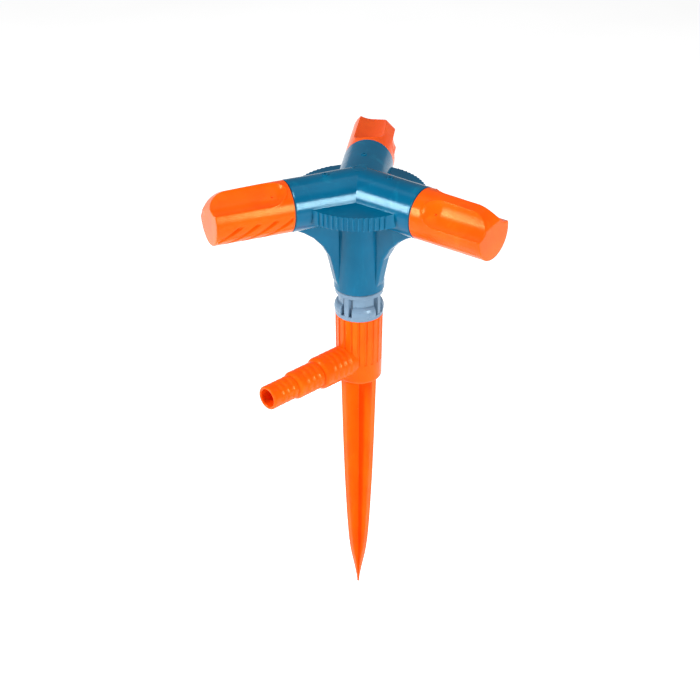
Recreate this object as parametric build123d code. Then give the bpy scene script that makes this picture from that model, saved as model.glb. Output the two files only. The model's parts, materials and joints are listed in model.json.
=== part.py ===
from build123d import *
import math
import os

# Three-arm spinning sprinkler on a ground spike.
# Units are millimetres. +Z is up, the spike's tip is at the origin, and the
# hose barb points along -X.

os.makedirs("parts", exist_ok=True)

# ------------------------------------------------------------------ dimensions
# ground spike: X-section blade, thickness and edge radius by height
SPIKE_T_TOP = 3.6
SPIKE_EDGE = [
    (163.0, 13.30), (160.0, 13.25), (120.0, 12.0), (90.0, 10.75), (60.0, 8.95),
    (46.0, 7.85), (38.0, 7.05), (31.0, 6.05), (25.0, 4.9), (19.0, 3.5),
    (12.0, 2.05), (5.0, 0.85), (0.6, 0.45),
]
# base cup
CUP_BOTTOM_Z = 160.3
CUP_CORNER_Z = 162.7
CUP_BOTTOM_R = 11.3
CUP_CORNER_R = 13.95
CUP_TOP_Z = 205.1
CUP_TOP_R = 14.45
CUP_BORE_R = 10.2          # takes the collar's plug
CUP_BORE_Z = 184.0
CUP_WELL_R = 8.6
CUP_FLOOR_Z = 166.0
FLUTES = 20
FLUTE_W = 1.25
FLUTE_D = 0.6
FLUTE_END_Z = 174.6
# side hose barb, three steps
BARB_Z = 175.6
BARB_END = 75.0
BARB_STEP = (56.0, 36.0)     # outer ends of the middle and the inner step
BARB_BORE_R = 5.47
BARB_R1, BARB_R2, BARB_R3 = 7.36, 8.56, 10.04
BARB_RIDGE_D = 0.62
BARB_RIDGES = ((69.3, 65.3, 61.0, 56.8), (49.9, 45.5, 41.2, 36.8), (29.3, 25.1, 20.9, 16.6))
# collar and spindle
COLLAR_TOP_Z = 222.55
COLLAR_R = 14.45
COLLAR_FLANGE_TOP = 219.7
COLLAR_FLANGE_BOTTOM = 207.8
COLLAR_CORE_R = 11.6
COLLAR_WEB_W = 3.0
COLLAR_WEB_AZ = 13.0
LUG_HALF_DEG = 29.5
PLUG_R = 10.15
PLUG_BOTTOM_Z = 185.0
SPINDLE_R1 = 8.0           # lower journal
SPINDLE_R2 = 7.0           # upper journal
SPINDLE_STEP_Z = 242.4
SPINDLE_TOP_Z = 262.0
SPINDLE_BORE_R = 5.0
RUN = 0.05                 # radial running clearance
# rotor
SLEEVE_R = 15.2
SLEEVE_BOTTOM_Z = 222.95
BORE_LOW_R = 12.0
BORE_LOW_TOP_Z = 243.1
BORE_MID_R = 11.2
BORE_MID_TOP_Z = 258.0
CHAMBER_R = 9.0
ARM_Z = 282.7
ARM_R_HUB = 15.7
ARM_R = 15.2
ARM_BREAK = 31.0
ARM_END = 44.75
ARM_BORE_R = 12.4
ARM_CHAMBER_R = 12.0
ARM_STEP = 32.6
ARM_AZ = {"rear": 38.92, "left": 158.92, "right": 278.92}
DISC_R = 39.4
DISC_TOP_Z = 284.8
DISC_BOTTOM_Z = 276.6
DISC_PLATE = 2.6
DISC_RIM = 2.6
DISC_RIBS = 80
DISC_RIB_D = 0.95
RIM_GAP = 19.4              # ribs stop this far to the side of each arm's axis
WEB_T = 8.0
WEB_CURVE = [
    (14.2, 224.6), (15.9, 230.0), (17.0, 235.0), (18.1, 240.0), (19.7, 246.4), (24.0, 254.1),
    (29.9, 260.6), (35.8, 264.9), (40.6, 267.4), (44.4, 268.6),
]
BOSS_AT = 21.5
BOSS_R = 1.85
BOSS_H = 0.55
SPRAY_HOLE_R = 0.85
# nozzle caps
CAP_IN = 45.5
CAP_END = 92.0
CAP_R = 15.25
CAP_RIDGE_FALL = 0.9        # how far the ridge between the scoops drops along its length
CAP_RIDGE_ROUND = 13.0      # radius that rounds the ridge's outer end
CAP_NECK_R = 12.35
CAP_NECK_IN = 33.2
CAP_BORE_R = 8.8
CAP_BORE_DEEP_R = 7.4
CAP_BORE_END = 88.0
# scoops: direction round the cap, distance of the floor from its axis, cutter radius, where the
# ball end is centred
SCOOP_A = (0.0, 9.6, 17.61, 60.7)
SCOOP_B = (97.0, 10.5, 16.92, 63.9)
RIDGE_AT = 50.5
NOZZLE_HOLE_R = 0.75
CAP_TURN = {"rear": -5.0, "left": -25.0, "right": -42.0}
GRIP_LINES = (46.9, 57.5, 68.2, 79.0)
GRIP_SLANT = 0.345          # mm along the cap for each degree round it
GRIP_D = 1.5
SNAP_R = 12.85


def save(shape, name):
    shape.label = name
    export_step(shape, f"parts/{name}.step")
    v = sum(s.volume for s in shape.solids())
    print(f"{name:24s} solids {len(shape.solids())} volume {v:9.1f} valid {shape.is_valid}")


def revolved(points):
    """Solid of revolution about Z from (radius, z) points."""
    face = make_face(Polyline(*[(r, 0, z) for r, z in points], close=True))
    return revolve(face, Axis.Z, 360)


def tube(r_out, r_in, z0, z1):
    return revolved([(r_in, z0), (r_out, z0), (r_out, z1), (r_in, z1)])


def rod(r, z0, z1):
    return Pos(0, 0, z0) * Cylinder(r, z1 - z0, align=(Align.CENTER, Align.CENTER, Align.MIN))


def about_x(points):
    """Solid of revolution about X from (x, radius) points."""
    face = make_face(Polyline(*[(x, 0, r) for x, r in points], close=True))
    return revolve(face, Axis.X, 360)


def ring(r_mid, r_cord, z):
    return Pos(0, 0, z) * Torus(r_mid, r_cord)


# ------------------------------------------------------------------ spike_base
cup = revolved([
    (0, CUP_BOTTOM_Z), (CUP_BOTTOM_R, CUP_BOTTOM_Z), (CUP_CORNER_R - 0.35, CUP_CORNER_Z - 0.45),
    (CUP_CORNER_R, CUP_CORNER_Z + 0.35), (CUP_TOP_R, CUP_TOP_Z - 0.35), (CUP_TOP_R - 0.35, CUP_TOP_Z),
    (0, CUP_TOP_Z),
])
# flutes: narrow round-bottomed grooves, open at the cup's rim
flute_at = CUP_TOP_R - FLUTE_D + 0.02 + FLUTE_W * 0.25
flute = Pos(flute_at + 0.35, 0, FLUTE_END_Z) * Cylinder(
    0.95, CUP_TOP_Z - FLUTE_END_Z + 2, align=(Align.CENTER, Align.CENTER, Align.MIN))
flutes = [Rot(0, 0, 360.0 / FLUTES * (i + 0.5)) * flute for i in range(FLUTES)]
cup = cup - flutes

# X-section blade: two crossed plates, edges follow the taper, thinner to the tip
edge = [(r, z) for z, r in SPIKE_EDGE]
outline = edge + [(-r, z) for r, z in reversed(edge)]


def blade(turn):
    face = make_face(Polyline(*[(r, 0, z) for r, z in outline], close=True))
    plate = extrude(face, SPIKE_T_TOP / 2, both=True)
    # the plate's faces taper towards the tip
    wedge = make_face(Polyline(
        (0, -SPIKE_T_TOP / 2, 163), (0, SPIKE_T_TOP / 2, 163), (0, SPIKE_T_TOP / 2 - 0.3, 60),
        (0, SPIKE_T_TOP / 2 - 0.6, 20), (0, 0.35, 0), (0, -0.35, 0),
        (0, -SPIKE_T_TOP / 2 + 0.6, 20), (0, -SPIKE_T_TOP / 2 + 0.3, 60), close=True))
    keep = extrude(wedge, 30, both=True)
    return Rot(0, 0, turn) * (plate & keep)


tip = Pos(0, 0, 0.0) * Cone(0.25, 0.62, 1.5, align=(Align.CENTER, Align.CENTER, Align.MIN))
core = revolved([(0, 0.5), (0.5, 0.5), (1.2, 20), (2.1, 60), (2.7, 163), (0, 163)])
spike = blade(0) + blade(90) + core + tip

# barb profile, measured outward from the cup's axis
def step_profile(x_out, r_before, r, ridges, x_in):
    """Points of one step from its outer end inwards: rounded lead, smooth land, saw-tooth ridges."""
    d = r - r_before
    pts = [(x_out, r_before), (x_out - 0.35, r_before + 0.42 * d), (x_out - 1.0, r_before + 0.76 * d),
           (x_out - 1.7, r_before + 0.94 * d), (x_out - 2.4, r)]
    for x in ridges:
        pts += [(x + 0.35, r), (x + 0.15, r - BARB_RIDGE_D)]
        if x - 2.3 > x_in + 0.6:
            pts += [(x - 0.35, r - BARB_RIDGE_D), (x - 1.3, r - 0.22), (x - 2.0, r)]
        else:
            pts += [(x_in + 0.1, r - BARB_RIDGE_D)]
    return pts


barb_pts = [(BARB_END, 0), (BARB_END, BARB_R1 - 0.75), (BARB_END - 0.2, BARB_R1 - 0.35), (BARB_END - 0.6, BARB_R1 - 0.08),
            (BARB_END - 1.0, BARB_R1)]
barb_pts += step_profile(BARB_END - 1.1, BARB_R1, BARB_R1, BARB_RIDGES[0], BARB_STEP[0])[5:]
barb_pts += step_profile(BARB_STEP[0], BARB_R1 - BARB_RIDGE_D, BARB_R2, BARB_RIDGES[1], BARB_STEP[1])
barb_pts += step_profile(BARB_STEP[1], BARB_R2 - BARB_RIDGE_D, BARB_R3, BARB_RIDGES[2], 9.0)
barb_pts += [(9.0, BARB_R3), (9.0, 0)]
barb = about_x([(-x, r) for x, r in barb_pts])
barb = Pos(0, 0, BARB_Z) * barb

hollow = rod(CUP_BORE_R, CUP_BORE_Z, CUP_TOP_Z + 1) + rod(CUP_WELL_R, CUP_FLOOR_Z, CUP_BORE_Z + 1)
inlet = Pos(0, 0, BARB_Z) * Rot(0, -90, 0) * Cylinder(
    BARB_BORE_R, BARB_END + 1, align=(Align.CENTER, Align.CENTER, Align.MIN))
inlet_flare = Pos(-BARB_END, 0, BARB_Z) * Rot(0, -90, 0) * Cone(
    BARB_BORE_R - 0.3, BARB_BORE_R + 0.5, 0.8, align=(Align.CENTER, Align.CENTER, Align.MAX))
spike_base = cup + spike + barb - hollow - inlet - inlet_flare
spike_base = spike_base.solids().sort_by(SortBy.VOLUME)[-1]
save(spike_base, "spike_base")

# ------------------------------------------------------------------ spindle
O_RING_C = 1.3
GROOVE_Z = (190.0, 196.0)
spindle = revolved([
    (SPINDLE_BORE_R, PLUG_BOTTOM_Z), (PLUG_R - 0.8, PLUG_BOTTOM_Z), (PLUG_R, PLUG_BOTTOM_Z + 0.8),
    (PLUG_R, GROOVE_Z[0] - 1.5), (PLUG_R - 2.1, GROOVE_Z[0] - 1.5), (PLUG_R - 2.1, GROOVE_Z[0] + 1.5),
    (PLUG_R, GROOVE_Z[0] + 1.5),
    (PLUG_R, GROOVE_Z[1] - 1.5), (PLUG_R - 2.1, GROOVE_Z[1] - 1.5), (PLUG_R - 2.1, GROOVE_Z[1] + 1.5),
    (PLUG_R, GROOVE_Z[1] + 1.5), (PLUG_R, CUP_TOP_Z),
    (COLLAR_R - 0.3, CUP_TOP_Z), (COLLAR_R, CUP_TOP_Z + 0.3), (COLLAR_R, COLLAR_FLANGE_BOTTOM - 0.25),
    (COLLAR_R - 0.25, COLLAR_FLANGE_BOTTOM),
    (COLLAR_CORE_R, COLLAR_FLANGE_BOTTOM), (COLLAR_CORE_R, COLLAR_FLANGE_TOP),
    (COLLAR_R - 0.25, COLLAR_FLANGE_TOP), (COLLAR_R, COLLAR_FLANGE_TOP + 0.25),
    (COLLAR_R, COLLAR_TOP_Z - 0.35), (COLLAR_R - 0.35, COLLAR_TOP_Z),
    (SPINDLE_R1, COLLAR_TOP_Z), (SPINDLE_R1, 239.3), (SPINDLE_R1 - 0.9, 239.3),
    (SPINDLE_R1 - 0.9, 240.6), (SPINDLE_R1, 240.6), (SPINDLE_R1, SPINDLE_STEP_Z - 0.4),
    (SPINDLE_R1 - 0.4, SPINDLE_STEP_Z), (SPINDLE_R2, SPINDLE_STEP_Z), (SPINDLE_R2, SPINDLE_TOP_Z - 1.0),
    (SPINDLE_R2 - 0.8, SPINDLE_TOP_Z), (SPINDLE_BORE_R, SPINDLE_TOP_Z),
])
for k in range(4):
    web = Rot(0, 0, COLLAR_WEB_AZ + 90 * k) * Pos(COLLAR_R - 1.9, 0, COLLAR_FLANGE_BOTTOM - 0.3) * Box(
        3.2, COLLAR_WEB_W, COLLAR_FLANGE_TOP - COLLAR_FLANGE_BOTTOM + 0.6,
        align=(Align.CENTER, Align.CENTER, Align.MIN))
    web = web & tube(COLLAR_R - 0.1, 9.0, COLLAR_FLANGE_BOTTOM - 0.5, COLLAR_FLANGE_TOP + 0.5)
    spindle = spindle + web
# catch lugs, one in each window: recessed above, a wedge that bulges low down
lug_profile = make_face(Polyline(
    (10.5, 0, 206.6), (14.0, 0, 206.6), (14.55, 0, 207.3), (14.9, 0, 208.6), (15.0, 0, 209.9),
    (14.85, 0, 211.2), (14.3, 0, 212.6), (13.5, 0, 213.6), (12.5, 0, 214.1), (12.4, 0, 219.9),
    (10.5, 0, 219.9), close=True))
lug = revolve(lug_profile, Axis.Z, 2 * LUG_HALF_DEG)
for k in range(4):
    spindle = spindle + Rot(0, 0, COLLAR_WEB_AZ + 45 + 90 * k - LUG_HALF_DEG) * lug
spindle = spindle.solids().sort_by(SortBy.VOLUME)[-1]
save(spindle, "spindle")

# plug O-rings: the cord just meets the groove floor and clears the bore
o_c = 1.05
for name, z in (("spindle_o_ring_lower", GROOVE_Z[0]), ("spindle_o_ring_upper", GROOVE_Z[1])):
    save(ring(CUP_BORE_R - 0.02 - o_c, o_c, z).solid(), name)

# ------------------------------------------------------------------ bearing stack
save(tube(11.6, SPINDLE_R1 + 0.08, COLLAR_TOP_Z, COLLAR_TOP_Z + 0.9).solid(), "collar_washer")

LOWER_BUSH = (COLLAR_TOP_Z + 1.0, 237.9)
lower_bush = revolved([
    (SPINDLE_R1 + RUN + 0.5, LOWER_BUSH[0]), (BORE_LOW_R - 0.03, LOWER_BUSH[0]),
    (BORE_LOW_R - 0.03, 226.2), (BORE_LOW_R + 0.42, 227.0), (BORE_LOW_R + 0.42, 227.7),
    (BORE_LOW_R - 0.03, 228.1), (BORE_LOW_R - 0.03, LOWER_BUSH[1] - 0.5),
    (BORE_LOW_R - 0.5, LOWER_BUSH[1]), (SPINDLE_R1 + RUN + 0.5, LOWER_BUSH[1]),
    (SPINDLE_R1 + RUN, LOWER_BUSH[1] - 0.5), (SPINDLE_R1 + RUN, LOWER_BUSH[0] + 0.5),
]).solid()
save(lower_bush, "lower_bush")

save(tube(10.6, SPINDLE_R1 + 0.06, 237.98, 239.3).solid(), "thrust_washer")

# split retaining ring, open over 28 degrees
ring_full = tube(9.7, SPINDLE_R1 - 0.88, 239.32, 240.55)
gap = Pos(9, 0, 239.9) * Box(6, 4.2, 4)
save((ring_full - gap).solid(), "retaining_ring")

save(tube(BORE_MID_R - 0.03, SPINDLE_R2 + 0.5, 243.2, 244.7).solid(), "seal_backing_ring")

lip_seal = revolved([
    (SPINDLE_R2 + 0.9, 244.8), (BORE_MID_R - 0.04, 244.8), (BORE_MID_R - 0.04, 249.7),
    (BORE_MID_R - 0.9, 249.9), (BORE_MID_R - 1.5, 249.4), (BORE_MID_R - 1.7, 246.6),
    (SPINDLE_R2 + 1.75, 246.6), (SPINDLE_R2 + 1.15, 249.5), (SPINDLE_R2 + 0.5, 249.7),
    (SPINDLE_R2 + 0.06, 249.0), (SPINDLE_R2 + 0.5, 246.8),
]).solid()
save(lip_seal, "lip_seal")

upper_bush = revolved([
    (SPINDLE_R2 + RUN + 0.4, 250.1), (BORE_MID_R - 0.03, 250.1), (BORE_MID_R - 0.03, 257.5),
    (BORE_MID_R - 0.4, 257.9), (SPINDLE_R2 + RUN + 0.4, 257.9), (SPINDLE_R2 + RUN, 257.5),
    (SPINDLE_R2 + RUN, 250.5),
]).solid()
save(upper_bush, "upper_bush")

# ------------------------------------------------------------------ rotor_body
sleeve = revolved([
    (0, SLEEVE_BOTTOM_Z), (SLEEVE_R - 0.5, SLEEVE_BOTTOM_Z), (SLEEVE_R, SLEEVE_BOTTOM_Z + 0.5),
    (SLEEVE_R, DISC_TOP_Z - 3), (0, DISC_TOP_Z - 3),
])
arm = about_x([
    (0, 0), (0, ARM_R_HUB), (ARM_BREAK, ARM_R), (ARM_END - 0.35, ARM_R), (ARM_END, ARM_R - 0.35),
    (ARM_END, 0),
])
# each arm is mitred to its own third of the hub, so neighbours meet on a flat plane
third = Pos(0, 0, -20) * extrude(make_face(Polyline((0, 0), (60, -60 * math.sqrt(3)), (60, 60 * math.sqrt(3)),
                                                    close=True)), 40)
arm = arm & third
hub = None
for az in ARM_AZ.values():
    placed = Rot(0, 0, az) * Pos(0, 0, ARM_Z) * arm
    hub = placed if hub is None else hub + placed

# ribbed disc rim: narrow rounded ribs with wide valleys, left off beside each arm
def rim_at(a_deg, d):
    a = math.radians(a_deg)
    for az in ARM_AZ.values():
        off = math.sin(math.radians(a_deg - az)) * DISC_R
        if math.cos(math.radians(a_deg - az)) > 0 and abs(off) < RIM_GAP:
            d = 0.0
    r = DISC_R - DISC_RIB_D * (1 - d)
    return (r * math.cos(a), r * math.sin(a))


rim_pts = []
for i in range(DISC_RIBS):
    for f, d in ((0.0, 1.0), (0.10, 0.8), (0.19, 0.15), (0.5, 0.0), (0.81, 0.15), (0.90, 0.8)):
        rim_pts.append(rim_at(360.0 * (i + f) / DISC_RIBS, d))
rim_face = make_face(Polyline(*rim_pts, close=True))
disc = Pos(0, 0, DISC_BOTTOM_Z) * extrude(rim_face, DISC_TOP_Z - DISC_BOTTOM_Z)
# soft top and bottom edges on the ribs
disc = disc & revolved([
    (0, DISC_BOTTOM_Z), (DISC_R - 0.5, DISC_BOTTOM_Z), (DISC_R + 0.05, DISC_BOTTOM_Z + 0.55),
    (DISC_R + 0.05, DISC_TOP_Z - 0.5), (DISC_R - 0.45, DISC_TOP_Z), (0, DISC_TOP_Z),
])
disc = disc - rod(DISC_R - DISC_RIM - DISC_RIB_D, DISC_BOTTOM_Z - 1, DISC_TOP_Z - DISC_PLATE)

# webs from the sleeve to the arms' undersides
web_face = make_face(Polyline(
    *[(r, 0, z) for r, z in WEB_CURVE], (44.4, 0, 274.0), (30, 0, 282.7), (8, 0, 282.7), (8, 0, 224.6),
    close=True))
web = extrude(web_face, WEB_T / 2, both=True)
front = []
for e in web.edges():
    c = e.center()
    on = any(math.hypot(c.X - (a[0] + b[0]) / 2, c.Z - (a[1] + b[1]) / 2) < 0.3
             for a, b in zip(WEB_CURVE, WEB_CURVE[1:]))
    if on and abs(abs(c.Y) - WEB_T / 2) < 0.01:
        front.append(e)
web = fillet(front, 1.6)
webs = [Rot(0, 0, az) * web for az in ARM_AZ.values()]

rotor = hub + sleeve + disc
for w in webs:
    rotor = rotor + w
for az in ARM_AZ.values():
    boss = Rot(0, 0, az) * Pos(BOSS_AT, 0, ARM_Z + 12.9) * Cylinder(
        BOSS_R, ARM_R_HUB - 0.35 + BOSS_H - 12.9, align=(Align.CENTER, Align.CENTER, Align.MIN))
    rotor = rotor + boss
# hollow inside
bores = rod(BORE_LOW_R, SLEEVE_BOTTOM_Z - 1, BORE_LOW_TOP_Z)
bores = bores + tube(BORE_LOW_R + 0.45, BORE_LOW_R - 1, 226.1, 228.2)
bores = bores + rod(BORE_MID_R, BORE_LOW_TOP_Z - 1, BORE_MID_TOP_Z)
bores = bores + rod(CHAMBER_R, BORE_MID_TOP_Z - 1, ARM_Z)
rotor = rotor - bores
arm_bore = about_x([
    (0, 0), (0, ARM_CHAMBER_R), (ARM_STEP, ARM_CHAMBER_R), (ARM_STEP, ARM_BORE_R),
    (33.3, ARM_BORE_R), (33.7, SNAP_R + 0.07), (35.5, SNAP_R + 0.07), (35.9, ARM_BORE_R),
    (ARM_END - 0.5, ARM_BORE_R), (ARM_END, ARM_BORE_R + 0.5), (ARM_END + 1, ARM_BORE_R + 0.5),
    (ARM_END + 1, 0),
])
for az in ARM_AZ.values():
    rotor = rotor - Rot(0, 0, az) * Pos(0, 0, ARM_Z) * arm_bore
    rotor = rotor - Rot(0, 0, az) * Pos(BOSS_AT, 0, ARM_Z) * Cylinder(
        SPRAY_HOLE_R, 30, align=(Align.CENTER, Align.CENTER, Align.MIN))
rotor = rotor.solids().sort_by(SortBy.VOLUME)[-1]
save(rotor, "rotor_body")

# ------------------------------------------------------------------ nozzle caps
cap0 = about_x([
    (CAP_NECK_IN, 0), (CAP_NECK_IN, 11.9), (33.9, SNAP_R), (35.0, SNAP_R), (35.5, CAP_NECK_R),
    (38.0, CAP_NECK_R), (38.0, CAP_NECK_R - 1.9), (40.8, CAP_NECK_R - 1.9), (40.8, CAP_NECK_R),
    (CAP_IN, CAP_NECK_R), (CAP_IN, CAP_R - 0.4), (CAP_IN + 0.4, CAP_R), (CAP_END - 0.9, CAP_R),
    (CAP_END - 0.25, CAP_R - 0.3), (CAP_END, CAP_R - 1.0), (CAP_END, 0),
])
# two shallow scoops, one wide and one narrow, round at the inner end and open at the outer end
def scoop(turn, floor, radius, start):
    at = floor + radius
    ball = Pos(start, 0, at) * Sphere(radius)
    run = Pos(start, 0, at) * Rot(0, 90, 0) * Cylinder(radius, 40, align=(Align.CENTER, Align.CENTER, Align.MIN))
    return Rot(turn, 0, 0) * (ball + run)


cap0 = cap0 - scoop(*SCOOP_A) - scoop(*SCOOP_B)

# the ridge between the scoops falls away slightly and is rounded off at its outer end
ridge_x = CAP_END - 12.0
ridge_h = CAP_R - CAP_RIDGE_FALL
arc = [(ridge_x + CAP_RIDGE_ROUND * math.sin(math.radians(q)),
        ridge_h - CAP_RIDGE_ROUND * (1 - math.cos(math.radians(q)))) for q in range(6, 67, 6)]
ridge_face = make_face(Polyline(
    (48.0, 0, CAP_R), (ridge_x, 0, ridge_h), *[(x, 0, h) for x, h in arc],
    (CAP_END + 1.5, 0, arc[-1][1] - 1.5), (CAP_END + 1.5, 0, 20), (48.0, 0, 20), close=True))
ridge_cut = Rot(RIDGE_AT, 0, 0) * extrude(ridge_face, 13, both=True)
cap0 = cap0 - ridge_cut


# grip: four slanting saw-tooth grooves on the side below the first scoop
def grip_cut(line):
    """A groove with a steep wall towards the cap's outer end and a ramp towards the hub."""
    loops = []
    n = 6
    for i in range(n + 1):
        f = i / n
        deg = 67 + 66 * f
        turn = math.radians(-deg)
        x = line + GRIP_SLANT * (deg - 68)
        deep = GRIP_D * math.sin(math.pi * (0.06 + 0.88 * f)) ** 0.5

        def at(xx, rr):
            return (xx, -math.sin(turn) * rr, math.cos(turn) * rr)
        loops.append(Polyline(at(x + 0.3, CAP_R + 0.6), at(x, CAP_R - deep), at(x - 5.0, CAP_R + 0.08),
                              at(x - 5.0, CAP_R + 0.6), close=True))
    return loft([make_face(w) for w in loops], ruled=True)


keep_in = about_x([(46.3, 0), (46.3, 20), (CAP_END - 1.4, 20), (CAP_END - 1.4, 0)])
for line in GRIP_LINES:
    cap0 = cap0 - (grip_cut(line) & keep_in)
# water way: stepped blind bore, and one small jet hole at the inner end of each scoop
cap0 = cap0 - about_x([(CAP_NECK_IN - 1, 0), (CAP_NECK_IN - 1, CAP_BORE_R), (46.0, CAP_BORE_R),
                       (48.0, CAP_BORE_DEEP_R), (CAP_BORE_END, CAP_BORE_DEEP_R), (CAP_BORE_END, 0)])
for turn, x in ((SCOOP_A[0], 53.6), (SCOOP_B[0], 56.6)):
    jet = Rot(turn, 0, 0) * Pos(x, 0, 6.6) * Rot(0, 32, 0) * Cylinder(
        NOZZLE_HOLE_R, 9, align=(Align.CENTER, Align.CENTER, Align.MIN))
    cap0 = cap0 - jet
cap0 = cap0.solids().sort_by(SortBy.VOLUME)[-1]

washer0 = about_x([(ARM_END + 0.03, 12.95), (ARM_END + 0.03, 14.75), (CAP_IN - 0.0, 14.75), (CAP_IN - 0.0, 12.95)])
arm_c = 0.93
arm_ring0 = Rot(0, 90, 0) * Torus(ARM_BORE_R - 0.04 - arm_c, arm_c)
arm_ring0 = Pos(39.4, 0, 0) * arm_ring0

for side, az in ARM_AZ.items():
    place = Rot(0, 0, az) * Pos(0, 0, ARM_Z)
    save((place * Rot(CAP_TURN[side], 0, 0) * cap0).solid(), f"nozzle_cap_{side}")
    save((place * washer0).solid(), f"joint_washer_{side}")
    save((place * arm_ring0).solid(), f"arm_o_ring_{side}")
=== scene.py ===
import json
import math

import bpy
import bmesh
import numpy as np
from mathutils import Matrix, Vector


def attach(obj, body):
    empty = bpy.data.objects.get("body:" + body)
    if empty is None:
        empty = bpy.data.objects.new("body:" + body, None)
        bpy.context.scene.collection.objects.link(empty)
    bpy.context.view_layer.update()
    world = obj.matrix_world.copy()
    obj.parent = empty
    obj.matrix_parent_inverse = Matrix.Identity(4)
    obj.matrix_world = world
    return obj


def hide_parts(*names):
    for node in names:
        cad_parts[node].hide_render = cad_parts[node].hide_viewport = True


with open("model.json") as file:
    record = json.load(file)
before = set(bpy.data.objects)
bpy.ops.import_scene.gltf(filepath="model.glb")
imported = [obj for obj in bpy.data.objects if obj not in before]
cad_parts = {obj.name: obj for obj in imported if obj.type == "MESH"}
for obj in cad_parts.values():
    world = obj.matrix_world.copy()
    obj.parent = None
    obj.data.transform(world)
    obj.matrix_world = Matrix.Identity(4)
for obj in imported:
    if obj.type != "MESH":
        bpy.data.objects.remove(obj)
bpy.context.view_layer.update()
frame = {"nodes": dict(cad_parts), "record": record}

MM = 0.001
scene = bpy.context.scene
nodes = frame["nodes"]
ARM_AZ = {"rear": 38.92, "left": 158.92, "right": 278.92}
CAP_TURN = {"rear": -5.0, "left": -25.0, "right": -42.0}
ARM_Z = 282.7


# ------------------------------------------------------------------ camera
def aim(obj, target):
    d = Vector(target) - obj.location
    obj.rotation_euler = d.to_track_quat("-Z", "Y").to_euler()


cam_data = bpy.data.cameras.new("camera")
cam_data.lens = 79.87
cam_data.sensor_width = 36.0
cam_data.sensor_fit = "HORIZONTAL"
cam_data.clip_start = 0.01
cam_data.clip_end = 60.0
cam_data.dof.use_dof = False
camera = bpy.data.objects.new("camera", cam_data)
scene.collection.objects.link(camera)
camera.location = (-0.57607, -0.58741, 0.65307)
aim(camera, (-0.003938, 0.003811, 0.17807))
scene.camera = camera

VIEW_AZ = math.radians(-44.06)


def seen(x, y, z):
    """A point given with X to the viewer's right and Y away from the viewer, in the row frame."""
    c, s = math.cos(VIEW_AZ), math.sin(VIEW_AZ)
    return (x * c - y * s, x * s + y * c, z)


# ------------------------------------------------------------------ node helpers
class Net:
    """A small builder for one material's node tree."""

    def __init__(self, name):
        self.mat = bpy.data.materials.new(name)
        self.mat.use_nodes = True
        self.tree = self.mat.node_tree
        self.tree.nodes.clear()
        self.out = self.add("ShaderNodeOutputMaterial")
        self.shader = self.add("ShaderNodeBsdfPrincipled")
        self.link(self.shader, "BSDF", self.out, "Surface")
        self.coord = self.add("ShaderNodeTexCoord")

    def add(self, kind, **props):
        n = self.tree.nodes.new(kind)
        for k, v in props.items():
            setattr(n, k, v)
        return n

    def link(self, a, out, b, inp):
        self.tree.links.new(a.outputs[out], b.inputs[inp])

    def mapping(self, scale=(1, 1, 1), rot=(0, 0, 0)):
        m = self.add("ShaderNodeMapping")
        m.inputs["Scale"].default_value = scale
        m.inputs["Rotation"].default_value = rot
        self.link(self.coord, "Object", m, "Vector")
        return m

    def noise(self, scale, detail=3.0, rough=0.5, stretch=None, rot=(0, 0, 0), distortion=0.0):
        n = self.add("ShaderNodeTexNoise")
        n.inputs["Scale"].default_value = scale
        n.inputs["Detail"].default_value = detail
        n.inputs["Roughness"].default_value = rough
        n.inputs["Distortion"].default_value = distortion
        if stretch is None:
            self.link(self.coord, "Object", n, "Vector")
        else:
            self.link(self.mapping(stretch, rot), "Vector", n, "Vector")
        return n

    def ramp(self, source, out, lo, hi, a=0.0, b=1.0):
        """Maps source from [lo, hi] to [a, b], clamped."""
        r = self.add("ShaderNodeMapRange")
        r.inputs["From Min"].default_value = lo
        r.inputs["From Max"].default_value = hi
        r.inputs["To Min"].default_value = a
        r.inputs["To Max"].default_value = b
        r.clamp = True
        self.link(source, out, r, "Value")
        return r

    def mix(self, fac, fac_out, a, b):
        """Mixes two colours; a and b are colours or (node, output)."""
        m = self.add("ShaderNodeMix", data_type="RGBA")
        self.link(fac, fac_out, m, 0)
        for v, i in ((a, 6), (b, 7)):
            if isinstance(v[0], (int, float)):
                m.inputs[i].default_value = (*v[:3], 1.0)
            else:
                self.tree.links.new(v[0].outputs[v[1]], m.inputs[i])
        return m

    def math(self, op, a, b=None):
        m = self.add("ShaderNodeMath", operation=op)
        for i, v in enumerate((a, b)):
            if v is None:
                continue
            if isinstance(v, (int, float)):
                m.inputs[i].default_value = v
            else:
                self.tree.links.new(v[0].outputs[v[1]], m.inputs[i])
        return m

    def bump(self, height, out, distance, strength=1.0, normal=None):
        b = self.add("ShaderNodeBump")
        b.inputs["Strength"].default_value = strength
        b.inputs["Distance"].default_value = distance
        self.link(height, out, b, "Height")
        if normal is not None:
            self.link(normal, "Normal", b, "Normal")
        return b


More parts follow.
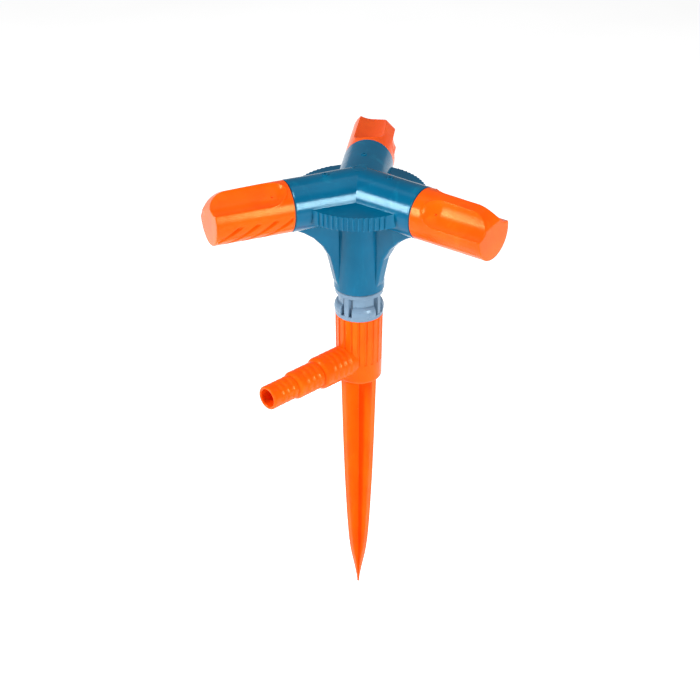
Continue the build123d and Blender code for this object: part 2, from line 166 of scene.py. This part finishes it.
def plastic(name, base, deep, pale, rough=(0.26, 0.40), grain=0.000012, ior=1.49, coat=0.0,
            subsurface=0.0, wear_and_edge_highlight=0.14, spec=0.5, tint=(1.0, 1.0, 1.0)):
    """Moulded plastic: slow colour drift, flow marks, a fine spark-eroded grain, rubbed edges that are partly a
    painted edge highlight, faint scuffs.
    """
    n = Net(name)
    s = n.shader
    drift = n.noise(38.0, 3.0, 0.55)
    flow = n.noise(120.0, 4.0, 0.6, stretch=(1.0, 1.0, 0.25), distortion=0.6)
    c1 = n.mix(n.ramp(drift, "Fac", 0.36, 0.66), "Result", deep, base)
    c2 = n.mix(n.ramp(flow, "Fac", 0.56, 0.80, 0.0, 0.30), "Result", (c1, 2), pale)
    # rubbed edges and painted edge highlight: where a rounded normal leaves the true one, the pale colour is
    # painted in patches on convex and concave edges alike
    bev = n.add("ShaderNodeBevel", samples=4)
    bev.inputs["Radius"].default_value = 0.0004
    geo = n.add("ShaderNodeNewGeometry")
    dot = n.add("ShaderNodeVectorMath", operation="DOT_PRODUCT")
    n.link(bev, "Normal", dot, 0)
    n.link(geo, "Normal", dot, 1)
    edge = n.ramp(dot, "Value", 0.995, 0.90)
    edge_patch_noise = n.noise(900.0, 3.0, 0.65)
    # pale colour painted on edges: partly rub wear, partly a painted highlight
    edge_wear_and_highlight_fac = n.math("MULTIPLY", (edge, "Result"), (n.ramp(edge_patch_noise, "Fac", 0.42, 0.66, 0.02, wear_and_edge_highlight), "Result"))
    c3 = n.mix(edge_wear_and_highlight_fac, "Value", (c2, 2), pale)
    n.link(c3, 2, s, "Base Color")
    r0 = n.noise(260.0, 4.0, 0.6)
    scuff = n.noise(520.0, 5.0, 0.7, stretch=(0.07, 1.0, 1.0), rot=(0.3, 0.2, 0.8))
    r1 = n.ramp(r0, "Fac", 0.32, 0.70, rough[0], rough[1])
    r2 = n.ramp(scuff, "Fac", 0.60, 0.80, 0.0, 0.07)
    r3 = n.math("ADD", (r1, "Result"), (r2, "Result"))
    n.link(r3, "Value", s, "Roughness")
    fine = n.noise(5200.0, 2.0, 0.5)
    soft = n.noise(150.0, 2.0, 0.5)
    b0 = n.bump(soft, "Fac", 0.00016, 0.35)
    b1 = n.bump(fine, "Fac", grain, 0.8, b0)
    b2 = n.bump(scuff, "Fac", 0.000006, 0.25, b1)
    n.link(b2, "Normal", s, "Normal")
    s.inputs["IOR"].default_value = ior
    s.inputs["Specular IOR Level"].default_value = spec
    s.inputs["Specular Tint"].default_value = (*tint, 1.0)
    if coat:
        s.inputs["Coat Weight"].default_value = coat
        s.inputs["Coat Roughness"].default_value = 0.12
    if subsurface:
        s.inputs["Subsurface Weight"].default_value = subsurface
        s.inputs["Subsurface Radius"].default_value = (0.0022, 0.0010, 0.0006)
        s.inputs["Subsurface Scale"].default_value = 1.0
    return n.mat


def rubber(name):
    n = Net(name)
    s = n.shader
    a = n.noise(420.0, 4.0, 0.6)
    c = n.mix(n.ramp(a, "Fac", 0.3, 0.7), "Result", (0.006, 0.006, 0.007), (0.022, 0.022, 0.023))
    n.link(c, 2, s, "Base Color")
    n.link(n.ramp(a, "Fac", 0.3, 0.7, 0.5, 0.72), "Result", s, "Roughness")
    n.link(n.bump(n.noise(3600.0, 2.0, 0.5), "Fac", 0.00002, 0.7), "Normal", s, "Normal")
    return n.mat


def steel(name):
    n = Net(name)
    s = n.shader
    a = n.noise(800.0, 3.0, 0.6, stretch=(1.0, 1.0, 8.0))
    c = n.mix(n.ramp(a, "Fac", 0.3, 0.7), "Result", (0.42, 0.42, 0.43), (0.62, 0.62, 0.63))
    n.link(c, 2, s, "Base Color")
    n.link(n.ramp(a, "Fac", 0.3, 0.7, 0.22, 0.38), "Result", s, "Roughness")
    s.inputs["Metallic"].default_value = 1.0
    return n.mat


MATS = {
    "orange_plastic": plastic("orange_plastic", (0.95, 0.104, 0.002), (0.90, 0.081, 0.002), (0.98, 0.19, 0.01),
                              rough=(0.17, 0.26), spec=0.22, tint=(1.0, 0.72, 0.25)),
    # teal gets more pale colour on its edges, a painted highlight on the rim ribs
    "teal_plastic": plastic("teal_plastic", (0.0, 0.112, 0.222), (0.0, 0.090, 0.186), (0.01, 0.26, 0.40),
                            rough=(0.13, 0.21), spec=0.27, wear_and_edge_highlight=0.26, tint=(0.55, 0.88, 1.0)),
    "grey_plastic": plastic("grey_plastic", (0.155, 0.245, 0.345), (0.12, 0.195, 0.28), (0.30, 0.40, 0.50),
                            rough=(0.26, 0.38), grain=0.000016, spec=0.45, tint=(0.7, 0.9, 1.0)),
    "white_plastic": plastic("white_plastic", (0.74, 0.73, 0.69), (0.66, 0.65, 0.61), (0.82, 0.81, 0.79),
                             rough=(0.36, 0.5)),
    "black_rubber": rubber("black_rubber"),
    "spring_steel": steel("spring_steel"),
}
slot_of = {s["node"]: s["material_slot"] for s in frame["record"]["subparts"]}


def dress(obj, slot):
    obj.data.materials.clear()
    obj.data.materials.append(MATS[slot])


for name, obj in nodes.items():
    dress(obj, slot_of[name])


# ------------------------------------------------------------------ nozzle caps
# One moulded cap, in its own frame: axis +X, first scoop towards +Z, second scoop a quarter turn on,
# slanting saw-tooth grip on the side below the first scoop. Millimetres.
CAP_IN, CAP_END, CAP_R = 45.5, 91.85, 15.25
LAND_R = 15.05
# per scoop: direction, cutter centre, cutter radius, ball end, axial squeeze, jet hole
SCOOPS = ((0.0, 27.21, 17.61, 59.8, 0.93, 55.2), (97.0, 27.42, 16.92, 62.6, 0.89, 59.2))
RIDGE_AT = 50.5
RIDGE_ROUND, RIDGE_FROM, RIDGE_FALL = 13.0, 12.0, 0.9
GRIP_LINES, GRIP_SLANT, GRIP_D, GRIP_L = (46.9, 57.5, 68.2, 79.0), 0.345, 2.4, 3.4
JET_R = 0.6


def smooth_min(a, b, k):
    h = np.clip(0.5 + 0.5 * (b - a) / k, 0.0, 1.0)
    return b * (1 - h) + a * h - k * h * (1 - h)


def step(lo, hi, v):
    t = np.clip((v - lo) / (hi - lo), 0.0, 1.0)
    return t * t * (3 - 2 * t)


def cap_radius(x, th):
    """Outer radius of the cap at x along the axis and th degrees round it."""
    r = np.full(np.broadcast(x, th).shape, LAND_R)
    for turn, centre, rho, start, squeeze, jet in SCOOPS:
        ph = np.radians((th - turn + 180.0) % 360.0 - 180.0)
        dx = np.maximum(0.0, start - x) / squeeze
        disc = rho ** 2 - dx ** 2 - (centre * np.sin(ph)) ** 2
        inside = (disc > 0) & (np.abs(ph) < 1.2)
        floor = np.where(inside, centre * np.cos(ph) - np.sqrt(np.maximum(disc, 0.0)), 40.0)
        v = floor - LAND_R
        bead = 0.32 * np.exp(-(np.minimum(np.abs(v), 9.0) / 0.85) ** 2)
        r = smooth_min(r, floor, 0.55) + bead
        # jet hole at the foot of the scoop's inner end
        d = np.hypot(x - jet, ph * 10.8)
        r = r - 0.8 * step(JET_R + 0.12, JET_R - 0.25, d)
    # ridge between the scoops: falls away slightly, rounded off at its outer end
    ph = np.radians((th - RIDGE_AT + 180.0) % 360.0 - 180.0)
    x0 = CAP_END - RIDGE_FROM
    h = CAP_R - RIDGE_FALL * np.clip((x - 48.0) / (x0 - 48.0), 0.0, 1.0)
    drop = RIDGE_ROUND - np.sqrt(np.maximum(0.0, RIDGE_ROUND ** 2 - np.maximum(0.0, x - x0) ** 2))
    flat = np.where(np.abs(ph) < 1.35, (h - drop) / np.cos(np.clip(ph, -1.35, 1.35)), 40.0)
    r = smooth_min(r, flat, 0.35)
    # grip: steep wall towards the outer end, ramp towards the hub, pointed at both ends
    ths = (th + 180.0) % 360.0 - 180.0
    u = x + (ths + 68.0) * GRIP_SLANT
    fade = step(-66.0, -73.0, ths) * step(-133.0, -124.0, ths) * step(46.2, 47.4, x) * step(CAP_END - 1.2, CAP_END - 2.4, x)
    cut = np.zeros_like(r)
    for line in GRIP_LINES:
        d = line - u
        cut = np.maximum(cut, np.where(d >= 0, np.clip(1 - d / GRIP_L, 0, 1), np.clip(1 + d / 0.3, 0, 1)))
    r = r - GRIP_D * cut * fade
    # rounded outer rim and a small round on the inner rim
    e = 0.9
    d = np.maximum(0.0, x - (CAP_END - e))
    r = np.minimum(r, CAP_R - (e - np.sqrt(np.maximum(0.0, e * e - d * d))))
    d = np.maximum(0.0, CAP_IN + 0.4 - x)
    return np.minimum(r, CAP_R - (0.4 - np.sqrt(np.maximum(0.0, 0.16 - d * d))))


def make_cap(side):
    count = 360
    th = np.arange(count) * (360.0 / count)
    rings, sharp = [], []
    for x, r in ((88.0, 3.7), (88.0, 7.4), (68.0, 7.4), (48.0, 7.4), (46.0, 8.8), (33.2, 8.8), (33.2, 11.9), (33.9, 12.85),
                 (35.0, 12.85), (35.5, 12.35), (38.0, 12.35), (38.0, 10.45), (40.8, 10.45), (40.8, 12.35),
                 (45.5, 12.35), (45.5, CAP_R - 0.4)):
        if rings and rings[-1][0] == x and np.allclose(rings[-1][1], r):
            continue
        sharp.append(len(rings))
        rings.append((x, np.full(count, r)))
    xs = np.concatenate([CAP_IN + 0.4 - 0.4 * np.cos(np.linspace(0.15, np.pi / 2, 4)),
                         np.arange(46.15, CAP_END - 1.0, 0.25),
                         CAP_END - 0.9 + 0.9 * np.sin(np.linspace(0.0, np.pi / 2, 7))])
    for x in xs:
        rings.append((x, cap_radius(np.full(count, x), th)))
    rim = rings[-1][1]
    for f in (0.8, 0.5, 0.2):
        rings.append((CAP_END, rim * f))
    rings.insert(0, (88.0, np.full(count, 0.0)))
    c, s = np.cos(np.radians(th)), np.sin(np.radians(th))
    pts = [(88.0, 0.0, 0.0)]
    for x, r in rings[1:]:
        pts.extend(zip(np.full(count, x), -s * r, c * r))
    pts.append((CAP_END, 0.0, 0.0))
    pts = np.array(pts)
    n = len(rings) - 1
    faces = []
    for j in range(count):
        k = (j + 1) % count
        faces.append((0, 1 + j, 1 + k))
    for i in range(n - 1):
        a, b = 1 + i * count, 1 + (i + 1) * count
        for j in range(count):
            k = (j + 1) % count
            faces.append((a + j, b + j, b + k, a + k))
    last, end = 1 + (n - 1) * count, len(pts) - 1
    for j in range(count):
        k = (j + 1) % count
        faces.append((last + j, end, last + k))
    me = bpy.data.meshes.new(f"cap_shell_{side}")
    me.from_pydata([tuple(map(float, p)) for p in pts], [], faces)
    bm = bmesh.new()
    bm.from_mesh(me)
    bmesh.ops.recalc_face_normals(bm, faces=bm.faces)
    limit = 1 + 14 * count
    for e in bm.edges:
        i, j = e.verts[0].index, e.verts[1].index
        if i <= limit and j <= limit and len(e.link_faces) == 2 and e.calc_face_angle(0.0) > 0.5:
            e.smooth = False
    for f in bm.faces:
        f.smooth = True
    place = (Matrix.Scale(MM, 4) @ Matrix.Translation((0, 0, ARM_Z)) @ Matrix.Rotation(math.radians(ARM_AZ[side]), 4, "Z")
             @ Matrix.Rotation(math.radians(CAP_TURN[side]), 4, "X"))
    bmesh.ops.transform(bm, matrix=place, verts=bm.verts)
    bm.to_mesh(me)
    bm.free()
    ob = bpy.data.objects.new(f"cap_shell_{side}", me)
    scene.collection.objects.link(ob)
    dress(ob, "orange_plastic")
    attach(ob, f"cap_{side}")
    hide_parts(f"nozzle_cap_{side}")
    return ob


for side in ARM_AZ:
    make_cap(side)


# faint round gate mark on top of the hub
bm = bmesh.new()
ring_pts = []
for r, z in ((4.5, 298.24), (4.35, 298.33), (4.0, 298.36), (3.65, 298.33), (3.5, 298.24)):
    ring_pts.append([bm.verts.new(((r * math.cos(a)) * MM, (r * math.sin(a)) * MM, z * MM))
                     for a in np.linspace(0, 2 * np.pi, 72, endpoint=False)])
for a, b in zip(ring_pts, ring_pts[1:] + ring_pts[:1]):
    for j in range(72):
        k = (j + 1) % 72
        bm.faces.new((a[j], a[k], b[k], b[j]))
bmesh.ops.recalc_face_normals(bm, faces=bm.faces)
for f in bm.faces:
    f.smooth = True
gate_mesh = bpy.data.meshes.new("gate_mark")
bm.to_mesh(gate_mesh)
bm.free()
gate = bpy.data.objects.new("gate_mark", gate_mesh)
scene.collection.objects.link(gate)
dress(gate, "teal_plastic")
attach(gate, "rotor")

# small raised lip round each spray hole
for side, az in ARM_AZ.items():
    bm = bmesh.new()
    rows = []
    for a in np.linspace(0, 2 * np.pi, 40, endpoint=False):
        row = []
        for b in np.linspace(0, 2 * np.pi, 12, endpoint=False):
            r = 1.3 + 0.28 * math.cos(b)
            row.append(bm.verts.new((r * math.cos(a) * MM, r * math.sin(a) * MM, 0.28 * math.sin(b) * MM)))
        rows.append(row)
    for i in range(40):
        a, b = rows[i], rows[(i + 1) % 40]
        for j in range(12):
            k = (j + 1) % 12
            bm.faces.new((a[j], a[k], b[k], b[j]))
    bmesh.ops.recalc_face_normals(bm, faces=bm.faces)
    for f in bm.faces:
        f.smooth = True
    place = (Matrix.Rotation(math.radians(az), 4, "Z") @ Matrix.Translation((21.5 * MM, 0, 298.3 * MM)))
    bmesh.ops.transform(bm, matrix=place, verts=bm.verts)
    me = bpy.data.meshes.new(f"spray_lip_{side}")
    bm.to_mesh(me)
    bm.free()
    lip = bpy.data.objects.new(f"spray_lip_{side}", me)
    scene.collection.objects.link(lip)
    dress(lip, "teal_plastic")
    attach(lip, "rotor")

# ------------------------------------------------------------------ stage
def make_floor():
    bm = bmesh.new()
    bmesh.ops.create_grid(bm, x_segments=2, y_segments=2, size=14.0)
    me = bpy.data.meshes.new("floor")
    bm.to_mesh(me)
    bm.free()
    ob = bpy.data.objects.new("floor", me)
    scene.collection.objects.link(ob)
    n = Net("floor_paper")
    a = n.noise(6.0, 2.0, 0.5)
    c = n.mix(n.ramp(a, "Fac", 0.3, 0.7), "Result", (0.86, 0.86, 0.86), (0.90, 0.90, 0.90))
    n.link(c, 2, n.shader, "Base Color")
    n.shader.inputs["Roughness"].default_value = 0.9
    n.shader.inputs["Specular IOR Level"].default_value = 0.0
    n.shader.inputs["Emission Color"].default_value = (1.0, 1.0, 1.0, 1.0)
    n.shader.inputs["Emission Strength"].default_value = 0.56
    me.materials.append(n.mat)
    return ob


make_floor()
world = bpy.data.worlds.new("studio")
scene.world = world
world.use_nodes = True
world.node_tree.nodes["Background"].inputs["Color"].default_value = (1.0, 1.0, 1.0, 1.0)
world.node_tree.nodes["Background"].inputs["Strength"].default_value = 0.22


def soft_box(name, direction, distance, width, height, power):
    data = bpy.data.lights.new(name, "AREA")
    data.shape = "RECTANGLE"
    data.size = width
    data.size_y = height
    data.energy = power
    ob = bpy.data.objects.new(name, data)
    scene.collection.objects.link(ob)
    d = Vector(direction).normalized() * distance
    ob.location = Vector(seen(d.x, d.y, 0.24 + d.z))
    aim(ob, (0, 0, 0.24))
    return ob


soft_box("key_right", (0.62, -0.71, 0.26), 1.0, 0.13, 0.44, 8.6)
soft_box("key_left", (-0.86, -0.32, 0.36), 1.0, 0.15, 0.46, 10.4)
soft_box("top", (0.0, -0.1, 1.0), 1.6, 1.8, 1.8, 12.0)

scene.view_settings.view_transform = "Standard"
scene.view_settings.look = "None"
